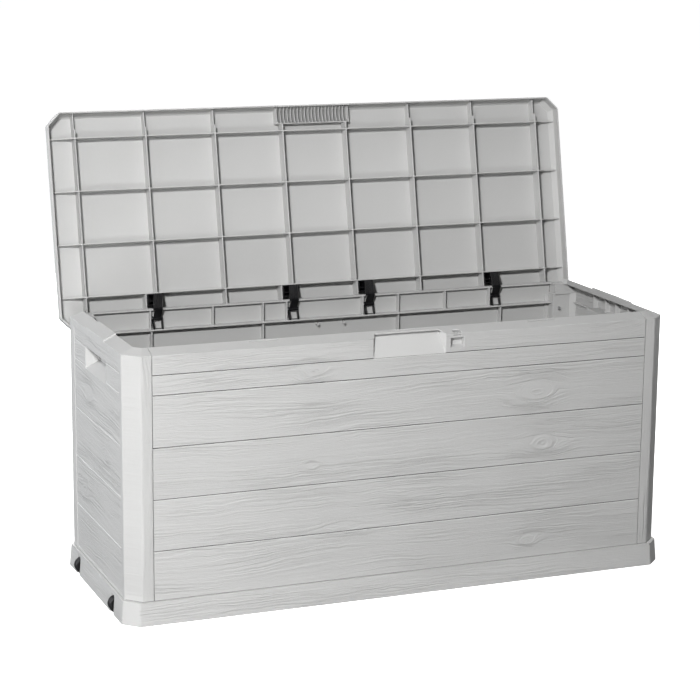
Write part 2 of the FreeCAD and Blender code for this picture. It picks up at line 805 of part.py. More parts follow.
def on_lid(s, depth):
    """(y, z) of a point on the open lid: s up from its rear edge, depth behind the skirt-edge plane."""
    point = opened(Part.Vertex(0, lid_s(s), rim_height + depth)).Point
    return (point.y, point.z)


def around(radius, degrees):
    """(y, z) of a point around the pivot."""
    angle = math.radians(degrees)
    return (pivot_y + radius * math.cos(angle), pivot_z + radius * math.sin(angle))


def arc_points(radius, start, end):
    """Three points of an arc about the pivot."""
    return [around(radius, a) for a in (start, (start + end) / 2, end)]


def arm_profile(outer, x):
    """Closed side view of the gooseneck, from the spoke over the rim to the lid."""
    spoke_in = arm_spoke_deg + 3
    tip_y, tip_z = on_lid(clip_high_s, clip_face + arm_outer_radius - outer)
    away = math.hypot(tip_y - pivot_y, tip_z - pivot_z)
    tip_deg = math.degrees(math.atan2(tip_z - pivot_z, tip_y - pivot_y))
    touch = tip_deg + math.degrees(math.acos(outer / away))
    depth = lid_thickness - lid_skin - fit_gap
    high = Vector(x, *on_lid(clip_high_s, depth))
    foot = Vector(x, *on_lid(clip_low_s - 6, depth))
    inner = [Vector(x, y, z) for y, z in arc_points(arm_inner_radius, arm_end_deg, spoke_in)]
    over = [Vector(x, y, z) for y, z in arc_points(outer, spoke_in, touch)]
    path = [Part.Arc(*inner).toShape(), Part.makeLine(inner[2], over[0]), Part.Arc(*over).toShape()]
    bend = [over[2], Vector(x, tip_y, tip_z), high, foot, inner[0]]
    path += [Part.makeLine(a, b) for a, b in zip(bend, bend[1:])]
    return Part.Face(Part.Wire(path))


def lean(shape):
    """Leans the arm sideways as it runs from the barrel to the lid."""
    matrix = FreeCAD.Matrix()
    matrix.A12 = arm_lean
    matrix.A14 = -arm_lean * pivot_y
    return shape.transformGeometry(matrix)


def hinge_arm(x):
    """Ribbed gooseneck with its barrel, and the clip block that it carries in the lid."""
    low = arm_shift - arm_half
    core = arm_profile(arm_outer_radius - arm_channel, low).extrude(Vector(2 * arm_half, 0, 0))
    ribs = []
    step = (2 * arm_half - arm_rib) / (arm_ribs - 1)
    for k in range(arm_ribs):
        ribs.append(arm_profile(arm_outer_radius, low + k * step).extrude(Vector(arm_rib, 0, 0)))
    neck = lean(join([core] + ribs))
    half = barrel_half
    centre = barrel_shift
    barrel = rod_x(pivot_y, pivot_z, barrel_radius, (centre - half, centre + half))
    shape = join([neck, barrel, spoke(centre, half), clip_block()])
    pin_run = (centre - half - 1, centre + half + 1)
    shape = shape.cut(rod_x(pivot_y, pivot_z, pin_radius + hole_gap, pin_run))
    shape.translate(Vector(x, 0, 0))
    return shape


def spoke(centre, half):
    """Flat web from the barrel out to the arc of the arm."""
    reach = (arm_inner_radius + arm_outer_radius) / 2
    bar = box((centre - half, centre + half), (pivot_y, pivot_y + reach), (pivot_z - 2.5, pivot_z + 2.5))
    bar.rotate(pivot, Vector(1, 0, 0), arm_spoke_deg)
    return bar


def clip_block():
    """Frame with two windows that snaps between the ribs of the lid."""
    depth = lid_thickness - lid_skin - fit_gap
    y = (lid_s(clip_high_s), lid_s(clip_low_s))
    z = (rim_height + clip_face, rim_height + depth)
    block = box((clip_left, clip_right + 4.0), y, z)
    split = y[0] + (y[1] - y[0]) * 0.64
    f = clip_frame
    inside = (clip_left + f, clip_right)
    upper = box(inside, (y[0] + f, split - f / 2), (z[0] - 1, z[1] - 3))
    lower = box(inside, (split + f / 2, y[1] - f), (z[0] - 1, z[1] - 3))
    return opened(block.cut(upper).cut(lower))


def hinge_bracket(x):
    """Two ears that stand on the long rib of the back wall, joined by a thin strip at the foot."""
    centre = x + barrel_shift
    near = barrel_half + ear_gap
    foot_y = body_half_y - back_rib_depth + ear_set_back
    bridge_x = (centre - near - ear_wall, centre + near + ear_wall)
    bridge_y = (foot_y + ear_leg - ear_bridge / 2, foot_y + ear_leg + ear_bridge / 2)
    shapes = [box(bridge_x, bridge_y, (back_rib_height, back_rib_height + ear_bridge_wall))]
    for side in (-1, 1):
        ear_x = sorted((centre + side * near, centre + side * (near + ear_wall)))
        foot = [(foot_y, back_rib_height), (foot_y + ear_leg, back_rib_height)]
        head = [(pivot_y + 3.4, pivot_z - 2.5), (pivot_y - ear_radius + 0.6, pivot_z - 2.5)]
        leg = extrude_yz(foot + head, ear_x)
        shapes += [leg, rod_x(pivot_y, pivot_z, barrel_radius, ear_x)]
    shape = join(shapes)
    reach = (centre - near - ear_wall - 1, centre + near + ear_wall + 1)
    return shape.cut(rod_x(pivot_y, pivot_z, pin_radius + hole_gap, reach))


def hinge_pin(x):
    half = pin_length / 2
    centre = x + barrel_shift
    return rod_x(pivot_y, pivot_z, pin_radius, (centre - half, centre + half))


# Nodes ----------------------------------------------------------------------------------------

os.makedirs("parts", exist_ok=True)
right_end = right_end_panel()
save("base_tray", base_tray())
save("front_panel", front_panel())
save("back_panel", back_panel())
save("right_end_panel", right_end)
save("left_end_panel", flip_x(right_end))
save("corner_screws", corner_screws())
save("lid", lid())
for number, x in enumerate(hinge_x, 1):
    save("hinge_arm_%d" % number, hinge_arm(x))
    save("hinge_bracket_%d" % number, hinge_bracket(x))
    save("hinge_pin_%d" % number, hinge_pin(x))
for name, y in zip(("front", "rear"), wheel_y):
    save("wheel_" + name, wheel(y))
    save("axle_" + name, axle(y))
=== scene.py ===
# %% [markdown]
# # A deck storage box with its lid open
#
# The box is an injection-moulded resin kit: a base tray, four wall panels with raised posts at the
# corners, a ribbed lid on four black hinges, and two small wheels in one end of the base.
# The sizes are settled before this file starts, so this lesson is about two things: turning exact
# but hard-edged parts into believable mouldings, and the finishes. The order is the one a studio
# would use: camera, light, finishes, then one piece after another.

# %% Load the frame
import json
import math

import bmesh
import bpy
from mathutils import Matrix, Vector


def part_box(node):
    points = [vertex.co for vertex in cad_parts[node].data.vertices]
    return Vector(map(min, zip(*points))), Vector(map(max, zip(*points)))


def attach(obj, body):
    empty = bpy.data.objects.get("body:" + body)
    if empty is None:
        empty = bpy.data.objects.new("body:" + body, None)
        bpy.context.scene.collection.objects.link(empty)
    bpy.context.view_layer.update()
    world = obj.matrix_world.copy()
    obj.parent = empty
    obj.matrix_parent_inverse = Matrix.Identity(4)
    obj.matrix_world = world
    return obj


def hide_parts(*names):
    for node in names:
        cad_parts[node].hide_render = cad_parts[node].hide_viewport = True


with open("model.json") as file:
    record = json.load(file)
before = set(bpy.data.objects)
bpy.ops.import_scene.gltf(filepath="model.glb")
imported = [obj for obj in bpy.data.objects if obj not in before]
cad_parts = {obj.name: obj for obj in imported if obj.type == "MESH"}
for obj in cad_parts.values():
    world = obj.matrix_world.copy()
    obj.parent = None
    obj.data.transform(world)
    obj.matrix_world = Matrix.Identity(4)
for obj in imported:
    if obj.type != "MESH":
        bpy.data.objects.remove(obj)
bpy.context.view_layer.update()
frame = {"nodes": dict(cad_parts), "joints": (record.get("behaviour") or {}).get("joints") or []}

scene = bpy.context.scene

# %% [markdown]
# ## Camera
#
# A long lens from a few metres away keeps the box nearly free of perspective, as in a catalogue.
# A camera without a turn looks straight down, so it is aimed in three turns that are easy to
# picture: tipped up to just below level, swung round to the side, and rolled about its own line.

# %% Camera
LENS_MM = 109.69
CAMERA_PLACE = Vector((-1.63502, -3.95461, 1.40001))
CAMERA_AZIMUTH = 21.98
CAMERA_PITCH = 12.46
CAMERA_ROLL = 0.58


def aimed_camera(place, azimuth, pitch, roll):
    """A camera that looks along +Y turned by the azimuth, down by the pitch, and rolled."""
    turn = Matrix.Rotation(math.radians(-azimuth), 3, "Z")
    tilt = Matrix.Rotation(math.radians(90 - pitch), 3, "X")
    twist = Matrix.Rotation(math.radians(roll), 3, "Z")
    data = bpy.data.cameras.new("catalogue_lens")
    data.lens = LENS_MM
    data.sensor_width = 36
    data.clip_end = 200
    camera = bpy.data.objects.new("catalogue_camera", data)
    scene.collection.objects.link(camera)
    camera.matrix_world = Matrix.Translation(place) @ (turn @ tilt @ twist).to_4x4()
    return camera


scene.camera = aimed_camera(CAMERA_PLACE, CAMERA_AZIMUTH, CAMERA_PITCH, CAMERA_ROLL)
view_direction = scene.camera.matrix_world.to_3x3() @ Vector((0, 0, -1))
print("camera looks along", tuple(round(v, 4) for v in view_direction))

# %% [markdown]
# ## Floor and backdrop
#
# The floor is a plain pale sheet that glows a little, and a dome of nearly the same white stands far
# off, so no horizon shows from low down. Both are hidden from diffuse and glossy rays: they look
# white but don't light the box. "Standard" shows colours as they were chosen, which suits a pale
# object on a pale floor.

# %% Floor and backdrop
FLOOR_HALF = 70
FLOOR_DROP = 0.0005
FLOOR_GLOW = 0.81
DOME_RADIUS = 65
DOME_GLOW = 1.0
scene.view_settings.view_transform = "Standard"


def glowing(name, strength):
    """A material that gives off white light."""
    material = bpy.data.materials.new(name)
    material.use_nodes = True
    shader = material.node_tree.nodes["Principled BSDF"]
    shader.inputs["Emission Color"].default_value = (1, 1, 1, 1)
    shader.inputs["Emission Strength"].default_value = strength
    return material


def backdrop(name, surface, material):
    """Turns a bmesh into a surface that the camera sees and that lights nothing."""
    mesh = bpy.data.meshes.new(name)
    surface.to_mesh(mesh)
    surface.free()
    mesh.materials.append(material)
    made = bpy.data.objects.new(name, mesh)
    scene.collection.objects.link(made)
    made.visible_diffuse = False
    made.visible_glossy = False
    return made


paper = glowing("white_paper", FLOOR_GLOW)
paper_shader = paper.node_tree.nodes["Principled BSDF"]
paper_shader.inputs["Base Color"].default_value = (0.9, 0.9, 0.9, 1)
paper_shader.inputs["Roughness"].default_value = 0.9
sheet = bmesh.new()
bmesh.ops.create_grid(sheet, x_segments=2, y_segments=2, size=FLOOR_HALF)
studio_floor = backdrop("studio_floor", sheet, paper)
studio_floor.location.z = -FLOOR_DROP

dome = bmesh.new()
bmesh.ops.create_icosphere(dome, subdivisions=4, radius=DOME_RADIUS)
studio_dome = backdrop("studio_dome", dome, glowing("white_distance", DOME_GLOW))
studio_dome.visible_shadow = False
print("backdrops", studio_floor.name, "and", studio_dome.name)

# %% [markdown]
# ## Lights
#
# A small soft box, high at the front left, gives each rib in the lid its narrow dark line. Wide
# ones on the left, on the right and behind light those sides, a low card lifts the front, and a
# weak one brightens the near sides of the ribs. The sky and the overhead light are dim, because
# they would fill the dark lines.

# %% Lights
def soft_box(name, place, target, size, watts, colour=(1, 1, 1)):
    """A square area light that faces a point."""
    data = bpy.data.lights.new(name, "AREA")
    data.energy = watts
    data.size = size
    data.color = colour
    lamp = bpy.data.objects.new(name, data)
    scene.collection.objects.link(lamp)
    lamp.location = place
    lamp.rotation_euler = (Vector(target) - Vector(place)).to_track_quat("-Z", "Y").to_euler()
    print(name, "at", place, watts, "W")


soft_box("key_light", (-2.25, -3.60, 2.68), (-0.1, 0, 0.45), 0.32, 192)
soft_box("left_light", (-2.4, 1.3, 0.8), (-0.4, 0, 0.3), 1.2, 38, (0.95, 0.97, 1.0))
soft_box("rib_light", (-2.5, -0.9, 1.3), (0, 0.3, 0.8), 0.9, 6.5)
soft_box("front_card", (-1.15, -1.75, 0.25), (-0.1, -0.25, 0.22), 0.7, 19)
soft_box("back_light", (0.4, 3.3, 1.0), (0, 0, 0.5), 1.8, 110)
soft_box("right_light", (2.8, 1.1, 0.9), (0.3, 0, 0.4), 1.2, 34)

overhead = bpy.data.lights.new("overhead_light", "SUN")
overhead.energy = 0.5
overhead.angle = math.radians(50)
overhead_lamp = bpy.data.objects.new("overhead_light", overhead)
scene.collection.objects.link(overhead_lamp)
overhead_lamp.rotation_euler = (math.radians(14), math.radians(-6), 0)

sky = bpy.data.worlds.new("studio_sky")
scene.world = sky
sky.use_nodes = True
sky.node_tree.nodes["Background"].inputs["Color"].default_value = (1, 1, 1, 1)
sky.node_tree.nodes["Background"].inputs["Strength"].default_value = 0.07

# %% [markdown]
# ## Writing finishes as sums
#
# A finish is a graph of nodes, and a graph is hard to read as code. So one small class stands for
# a socket and lets a pattern be written as ordinary arithmetic: `1 - mask` adds a Math node.
# Every other node comes from one method that takes its type, its settings, and its inputs.

# %% Sockets that add up
class Wire:
    """The output of a node, usable in sums."""

    def __init__(self, finish, socket):
        self.finish = finish
        self.socket = socket

    def maths(self, operation, first, second):
        return self.finish.node("Math", {"operation": operation}, {0: first, 1: second})

    def __add__(self, other):
        return self.maths("ADD", self, other)

    def __radd__(self, other):
        return self.maths("ADD", other, self)

    def __sub__(self, other):
        return self.maths("SUBTRACT", self, other)

    def __rsub__(self, other):
        return self.maths("SUBTRACT", other, self)

    def __mul__(self, other):
        return self.maths("MULTIPLY", self, other)

    def __rmul__(self, other):
        return self.maths("MULTIPLY", other, self)

    def __truediv__(self, other):
        return self.maths("DIVIDE", self, other)


class Finish:
    """A material whose node graph is written from code."""

    def __init__(self, name):
        self.material = bpy.data.materials.new(name)
        self.material.use_nodes = True
        self.tree = self.material.node_tree
        self.shader = self.tree.nodes["Principled BSDF"]
        self.place = self.node("TexCoord", {}, {}, "Object")

    def node(self, kind, settings, inputs, output=0):
        """Adds a node: its type, then its settings, then the values or wires of its inputs."""
        made = self.tree.nodes.new("ShaderNode" + kind)
        for key, value in settings.items():
            setattr(made, key, value)
        for key, value in inputs.items():
            self.feed(made.inputs[key], value)
        return Wire(self, made.outputs[output])

    def feed(self, socket, value):
        if isinstance(value, Wire):
            self.tree.links.new(value.socket, socket)
        else:
            socket.default_value = value

    def set(self, **inputs):
        """Values or wires for the shader, with spaces in names written as underscores."""
        for key, value in inputs.items():
            self.feed(self.shader.inputs[key.replace("_", " ")], value)

    def split(self, vector):
        """The three parts of a vector."""
        parts = self.node("SeparateXYZ", {}, {0: vector})
        return [Wire(self, socket) for socket in parts.socket.node.outputs]

    def joined(self, x, y, z):
        return self.node("CombineXYZ", {}, {0: x, 1: y, 2: z})

    def noise(self, vector, scale, detail=2.0, roughness=0.5):
        """Cloudy values around a half."""
        return self.node("TexNoise", {"noise_dimensions": "3D"},
                         {"Vector": vector, "Scale": scale, "Detail": detail, "Roughness": roughness})

    def ease(self, value, low, high, to_low=0.0, to_high=1.0):
        """An S-shaped step between two values."""
        return self.node("MapRange", {"interpolation_type": "SMOOTHSTEP"},
                         {"Value": value, 1: low, 2: high, 3: to_low, 4: to_high})

    def blend(self, share, first, second):
        """A mix of two colours."""
        return self.node("Mix", {"data_type": "RGBA"}, {0: share, 6: first, 7: second}, 2)

    def bump(self, height, distance):
        """A relief of a height, with its full depth in metres."""
        return self.node("Bump", {}, {"Height": height, "Distance": distance, "Strength": 1.0})


print("sockets can be added, taken away, multiplied and divided")

# %% [markdown]
# ## Matte resin
#
# The plain parts of the moulding are not perfectly even: resin flows leave faint clouds, the tool's
# surface was spark-eroded to a fine matte grain, and that grain scatters the light. Four noises give
# those. In the colour they are about 14 cm and 4 mm across, in the sheen 5.5 cm, and in the relief
# 0.7 mm.
#
# Grooves and gaps have a much darker finish of their own. It is painted shade: it keeps the
# shadow lines in those places dark in any light.

# %% Matte resin
RESIN = (0.50, 0.50, 0.495, 1)
RESIN_SHADE = (0.435, 0.435, 0.430, 1)
# Painted shade: the dark colours of grooves, gaps and the boards' foot line.
PAINTED_SHADE_DARK = (0.07, 0.07, 0.068, 1)
PAINTED_SHADE_PALE = (0.12, 0.12, 0.116, 1)


def resin_colour(finish, extra):
    """Resin's grey with faint clouds, darker where extra is high."""
    clouds = finish.noise(finish.place, 7.0, 3.0)
    specks = finish.noise(finish.place, 240.0, 1.0)
    share = clouds * 0.5 + specks * 0.2 + extra
    return finish.blend(finish.ease(share, 0.1, 1.1), RESIN, RESIN_SHADE)


def matte_resin(name):
    """Smooth moulded resin with the fine texture of its tool."""
    finish = Finish(name)
    spark = finish.noise(finish.place, 1400.0, 1.0)
    patches = finish.noise(finish.place, 18.0, 2.0)
    finish.set(Base_Color=resin_colour(finish, 0.0), Roughness=patches * 0.16 + 0.50,
               Normal=finish.bump(spark, 0.00008), Specular_IOR_Level=0.4)
    return finish.material


smooth_resin = matte_resin("smooth_resin")


def groove_shade(name):
    """Painted shade: a much darker colour for the faces of grooves and gaps."""
    finish = Finish(name)
    clouds = finish.noise(finish.place, 90.0, 3.0)
    colour = finish.blend(finish.ease(clouds, 0.25, 0.75), PAINTED_SHADE_DARK, PAINTED_SHADE_PALE)
    finish.set(Base_Color=colour, Roughness=clouds * 0.2 + 0.6, Normal=finish.bump(clouds, 0.0001),
               Specular_IOR_Level=0.1)
    return finish.material


# The painted-shade material for the faces of grooves and gaps.
groove_painted_shade = groove_shade("groove_painted_shade")
print("made", smooth_resin.name, "and", groove_painted_shade.name)

# %% [markdown]
# ## Embossed timber
#
# The outside of the panels copies sawn boards. Real grain is a stack of nearly parallel lines that
# part around each knot and close again behind it, and inside the knot they turn into rings.
# So the pattern starts as one number, the height across the board. It is bent by slow noise, pushed
# apart near every knot, and replaced by the distance from the middle inside it. Noise read along
# that one number then draws all the lines, and each board reads it from a different place.
#
# A knot is (along, across, half length, half height, how strong), in metres. The foot of the boards,
# just above the skirt, has a dark line of painted shade where the boards meet the skirt.

# %% Timber pattern
BOARD = 0.10173
BOARD_FOOT = 0.0419
SKIRT_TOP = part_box("front_panel")[0].z
FOOT_SHADE_HEIGHT = 0.0026
NARROW_EDGE = 0.488
GRAIN_SPACING = 0.0044
GRAIN_RELIEF = 0.0018


def board_number(finish, height):
    """Counts the boards from the ground up, the two narrow ones last."""
    whole = finish.node("Math", {"operation": "FLOOR"}, {0: (height - BOARD_FOOT) / BOARD})
    return whole + finish.node("Math", {"operation": "GREATER_THAN"}, {0: height, 1: NARROW_EDGE})


def timber_lines(finish, along, across, board, knots):
    """Height of embossed grain, from nought in the furrows to one."""
    slow = finish.noise(finish.joined(along * 2.2, across * 7.0, board * 3.7), 1.0, 1.0)
    wander = finish.noise(finish.joined(along * 14.0, across * 40.0, board * 1.3), 1.0, 2.0)
    field = across + (slow - 0.5) * 0.055 + (wander - 0.5) * 0.012
    here = finish.joined(along + (wander - 0.5) * 0.030, across + (wander - 0.5) * 0.016, 0.0)
    near = 0.0
    for u, v, half_u, half_v, strength in knots:
        reach = finish.node("VectorMath", {"operation": "MULTIPLY_ADD"},
                            {0: here, 1: (1 / half_u, 1 / half_v, 0),
                             2: (-u / half_u, -v / half_v, 0)})
        away = finish.node("VectorMath", {"operation": "LENGTH"}, {0: reach}, 1)
        pushed = finish.ease(away, 0.3, 2.4, strength, 0.0)
        ringed = finish.ease(away, 0.25, 1.15, strength, 0.0)
        near = pushed * 0.6 + near
        field = field - pushed * (field - v)
        field = field + ringed * away * half_v * 0.85
    lines = finish.noise(finish.joined(along * 3.5, field / GRAIN_SPACING, board * 5.1), 1.0, 3.0, 0.68)
    fibre = finish.noise(finish.joined(along * 60.0, field / GRAIN_SPACING * 3.4, board), 1.0, 2.0, 0.6)
    patches = finish.noise(finish.joined(along * 4.0, across * 24.0, board * 2.0), 1.0, 1.0)
    depth = finish.ease(patches + near * 0.8, 0.36, 0.70, 0.25, 1.0)
    return finish.ease(lines, 0.30, 0.68) * depth * 0.62 + fibre * 0.38


def emboss(finish, colour, furrow, grain):
    """Gives a board its colour, its duller furrows and its relief."""
    finish.set(Base_Color=colour, Roughness=furrow * 0.14 + 0.50,
               Normal=finish.bump(grain, GRAIN_RELIEF), Specular_IOR_Level=0.4)


def timber_resin(name, along_axis, across_axis, knots, boards=True):
    """Resin embossed with timber whose grain runs along one axis."""
    finish = Finish(name)
    axes = dict(zip("xyz", finish.split(finish.place)))
    along = axes[along_axis]
    across = axes[across_axis] if len(across_axis) == 1 else axes["x"] + axes["y"]
    board = board_number(finish, axes["z"]) if boards else across * 0.0
    grain = timber_lines(finish, along, across, board, knots)
    furrow = 1 - grain
    # Painted shade: a dark line along the foot of the boards, just above the skirt.
    above_skirt = finish.node("Math", {"operation": "GREATER_THAN"}, {0: axes["z"], 1: SKIRT_TOP})
    foot_painted_shade = above_skirt * finish.ease(axes["z"], SKIRT_TOP, SKIRT_TOP + FOOT_SHADE_HEIGHT, 0.8, 0.0)
    colour = finish.blend(foot_painted_shade, resin_colour(finish, furrow * 0.18), PAINTED_SHADE_DARK)
    emboss(finish, colour, furrow, grain)
    print(name, "has", len(knots), "knots and", len(finish.tree.nodes), "nodes")
    return finish.material


FRONT_KNOTS = [
    (-0.203, 0.474, 0.030, 0.013, 0.9),
    (0.281, 0.393, 0.045, 0.022, 1.0),
    (-0.206, 0.281, 0.014, 0.007, 1.0),
    (0.300, 0.285, 0.040, 0.016, 1.0),
    (-0.133, 0.150, 0.040, 0.012, 0.8),
    (0.269, 0.084, 0.022, 0.012, 1.0),
    (0.020, 0.210, 0.060, 0.018, 0.5),
]
BACK_KNOTS = [
    (-0.270, 0.395, 0.040, 0.020, 1.0),
    (0.190, 0.300, 0.022, 0.011, 1.0),
    (-0.060, 0.205, 0.045, 0.016, 0.9),
    (0.350, 0.100, 0.030, 0.013, 1.0),
    (-0.400, 0.090, 0.016, 0.008, 1.0),
]
END_KNOTS = [
    (0.050, 0.395, 0.030, 0.014, 0.9),
    (-0.070, 0.300, 0.020, 0.011, 1.0),
    (0.095, 0.190, 0.026, 0.012, 0.9),
]
front_boards = timber_resin("front_boards", "x", "z", FRONT_KNOTS)
back_boards = timber_resin("back_boards", "x", "z", BACK_KNOTS)
end_boards = timber_resin("end_boards", "y", "z", END_KNOTS)
post_timber = timber_resin("post_timber", "z", "xy", [], False)

# %% [markdown]
# ## The lid's boards
#
# The outside of the lid has four boards side by side. It is open here, so its pattern is read in the
# lid's own directions: a Mapping node turns the coordinates back to closed.

# %% Lid boards
LID_OPEN = math.radians(101.8)
LID_HINGE = next(joint for joint in frame["joints"] if joint["name"] == "lid_hinge")
HINGE_AXIS = Vector(LID_HINGE.get("pos_m", (0, 0.2097, 0.5067)))
LID_BOARD = 0.112
LID_KNOTS = [
    (-0.300, -0.165, 0.034, 0.016, 1.0),
    (0.240, -0.060, 0.040, 0.018, 1.0),
    (-0.110, 0.050, 0.020, 0.010, 1.0),
    (0.380, 0.160, 0.026, 0.012, 0.9),
]


def lid_timber(name, knots):
    """Timber on the lid's outside, laid out as if the lid were closed."""
    finish = Finish(name)
    moved = finish.node("VectorMath", {"operation": "SUBTRACT"}, {0: finish.place, 1: HINGE_AXIS})
    closed = finish.node("Mapping", {"vector_type": "POINT"}, {0: moved, "Rotation": (LID_OPEN, 0, 0)})
    x, y, _ = finish.split(closed)
    across = y + HINGE_AXIS.y
    board = finish.node("Math", {"operation": "FLOOR"}, {0: (across + 2 * LID_BOARD) / LID_BOARD})
    grain = timber_lines(finish, x, across, board, knots)
    furrow = 1 - grain
    emboss(finish, resin_colour(finish, furrow * 0.18), furrow, grain)
    return finish.material


lid_boards = lid_timber("lid_boards", LID_KNOTS)
print("lid boards read from", tuple(round(v, 4) for v in HINGE_AXIS))

# %% [markdown]
# ## Black plastic and zinc
#
# Hinges and wheels are nylon: satin black with a soft sheen and a fine texture. The screws, pins
# and axles are bright zinc, which is never quite even: it has cloudy crystals.

# %% Black plastic and zinc
NYLON_DARK = (0.003, 0.003, 0.004, 1)
NYLON_WORN = (0.008, 0.008, 0.009, 1)


def black_nylon(name, texture, roughness):
    """Satin black moulding."""
    finish = Finish(name)
    clouds = finish.noise(finish.place, 60.0, 3.0)
    grit = finish.noise(finish.place, texture, 2.0)
    colour = finish.blend(finish.ease(clouds, 0.3, 0.7), NYLON_DARK, NYLON_WORN)
    finish.set(Base_Color=colour, Roughness=clouds * 0.2 + roughness, Normal=finish.bump(grit, 0.00015),
               Specular_IOR_Level=0.35)
    return finish.material


def zinc_plate(name):
    """Bright zinc on small steel parts."""
    finish = Finish(name)
    crystals = finish.node("TexVoronoi", {}, {"Vector": finish.place, "Scale": 900.0}, "Distance")
    clouds = finish.noise(finish.place, 150.0, 3.0)
    colour = finish.blend(clouds, (0.50, 0.51, 0.53, 1), (0.66, 0.66, 0.66, 1))
    finish.set(Base_Color=colour, Metallic=1.0, Roughness=crystals * 0.2 + 0.25,
               Normal=finish.bump(clouds, 0.00003))
    return finish.material


hinge_nylon = black_nylon("hinge_nylon", 1800.0, 0.28)
wheel_nylon = black_nylon("wheel_nylon", 900.0, 0.38)
zinc = zinc_plate("zinc")
print("made", hinge_nylon.name, wheel_nylon.name, zinc.name)

# %% [markdown]
# ## From exact part to moulding
#
# The parts arrive as exact shapes made of loose triangles with knife edges. A moulding has neither.
# So each part is copied, its triangles are merged and its flat faces made whole again. Then the long
# sharp edges get a small radius with the bevel operator. Short edges are left out, and so is a long
# one that meets an edge too short for the radius. The corners of the eight-sided outline are
# softened more. Weighted normals then keep the flat faces looking flat. The rounding leaves a few
# pairs of faces that cross.

# %% Copying and rounding
SAME_POINT = 1e-6
FLAT_WITHIN = math.radians(0.6)
CORNER_X = 0.54
CORNER_OFFSET = 0.003
WALL_RADIUS = 0.0008
FINE_RADIUS = 0.0006
LONG_EDGE = 0.006
SMOOTH_WITHIN = math.radians(16)
FLAT_FACE_WEIGHT = 80
UP = Vector((0, 0, 1))


def whole_copy(node):
    """A bmesh with the part's shape, merged and with whole flat faces."""
    shape = bmesh.new()
    shape.from_mesh(frame["nodes"][node].data)
    bmesh.ops.remove_doubles(shape, verts=shape.verts, dist=SAME_POINT)
    bmesh.ops.dissolve_limit(shape, angle_limit=FLAT_WITHIN, verts=shape.verts, edges=shape.edges)
    return shape


def is_sharp(edge, degrees=25):
    """Whether an edge stands out and turns by more than an angle."""
    if len(edge.link_faces) != 2 or not edge.is_convex:
        return False
    return edge.calc_face_angle() > math.radians(degrees)


def round_edges(shape, edges, radius, segments):
    bmesh.ops.bevel(shape, geom=edges, offset=radius, offset_type="OFFSET", segments=segments,
                    profile=0.5, affect="EDGES", clamp_overlap=False, material=-1)


def round_long_edges(shape, radius, shortest):
    """Rounds every long sharp edge that meets no edge too short to carry the radius."""
    chosen = {edge for edge in shape.edges if is_sharp(edge) and edge.calc_length() > shortest}
    crowded = set()
    for edge in shape.edges:
        if edge not in chosen and edge.calc_length() < 1.6 * radius:
            crowded.update(edge.verts)
    free = [edge for edge in chosen if not crowded.intersection(edge.verts)]
    free.sort(key=lambda edge: edge.index)
    round_edges(shape, free, radius, 2)
    print("rounded", len(free), "of", len(chosen), "long edges")


def round_corners(shape, upright, shortest):
    """Softens the eight-sided outline: outside corners that run along one direction."""
    corners = []
    for edge in shape.edges:
        a, b = (vertex.co for vertex in edge.verts)
        at_end = min(abs(a.x), abs(b.x)) > CORNER_X
        if at_end and is_sharp(edge, 30) and edge.calc_face_angle() < math.radians(60):
            if edge.calc_length() > shortest and abs((a - b).normalized().dot(upright)) > 0.9:
                corners.append(edge)
    round_edges(shape, corners, CORNER_OFFSET, 4)
    shape.normal_update()
    print("softened", len(corners), "corners")


def finished(name, shape, body, nodes, finishes):
    """Turns a bmesh into a piece that rides on a body and stands for some parts."""
    mesh = bpy.data.meshes.new(name)
    shape.to_mesh(mesh)
    shape.free()
    for finish in finishes:
        mesh.materials.append(finish)
    if mesh.has_custom_normals:
        mesh.attributes.remove(mesh.attributes["custom_normal"])
    mesh.set_sharp_from_angle(angle=SMOOTH_WITHIN)
    piece = bpy.data.objects.new(name, mesh)
    scene.collection.objects.link(piece)
    even = piece.modifiers.new("even_shading", "WEIGHTED_NORMAL")
    even.keep_sharp = True
    even.weight = FLAT_FACE_WEIGHT
    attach(piece, body)
    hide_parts(*nodes)
    print(name, len(mesh.polygons), "faces on", body)


def paint(shape, rule):
    """Gives each face the number of its finish."""
    for face in shape.faces:
        face.material_index = rule(face.normal, face.calc_center_bounds())
        face.smooth = True


print("rounding by", WALL_RADIUS, "and", FINE_RADIUS, "m, corners by", CORNER_OFFSET, "m")

# %% [markdown]
# ## Front and back panels
#
# Only what faces outwards carries timber. The rim, the finger recess and the inside are smooth. The
# upper faces of the board grooves get the painted shade, and so do the front panel's sides of the
# gaps beside the posts. A rule takes a face's direction and middle, and gives the number of its
# finish.

# %% Front and back panels
FACE_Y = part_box("front_panel")[0].y
GAP_DEPTH = 0.006
GAP_X = 0.4
SKIN = 0.002
GROOVE_STEP = 0.0003


# Finish 2 is painted shade, for the sides of the gaps and the upper faces of the grooves.
def front_rule(normal, middle):
    if abs(normal.x) > 0.8 and middle.y < FACE_Y + GAP_DEPTH and abs(middle.x) > GAP_X:
        return 2
    if normal.y > -0.5 or middle.y > FACE_Y + SKIN:
        return 0
    return 2 if normal.z < -0.5 and middle.y > FACE_Y + GROOVE_STEP else 1


# Finish 2 is painted shade, for the upper faces of the grooves.
def back_rule(normal, middle):
    if normal.y < 0.5 or middle.y < -FACE_Y - SKIN:
        return 0
    return 2 if normal.z < -0.5 and middle.y < -FACE_Y - GROOVE_STEP else 1


LONG_PANELS = (
    ("front_panel", front_rule, front_boards),
    ("back_panel", back_rule, back_boards),
)
for node, rule, boards in LONG_PANELS:
    shape = whole_copy(node)
    round_long_edges(shape, WALL_RADIUS, LONG_EDGE)
    paint(shape, rule)
    finished(node + "_moulding", shape, "box", [node],
             [smooth_resin, boards, groove_painted_shade])

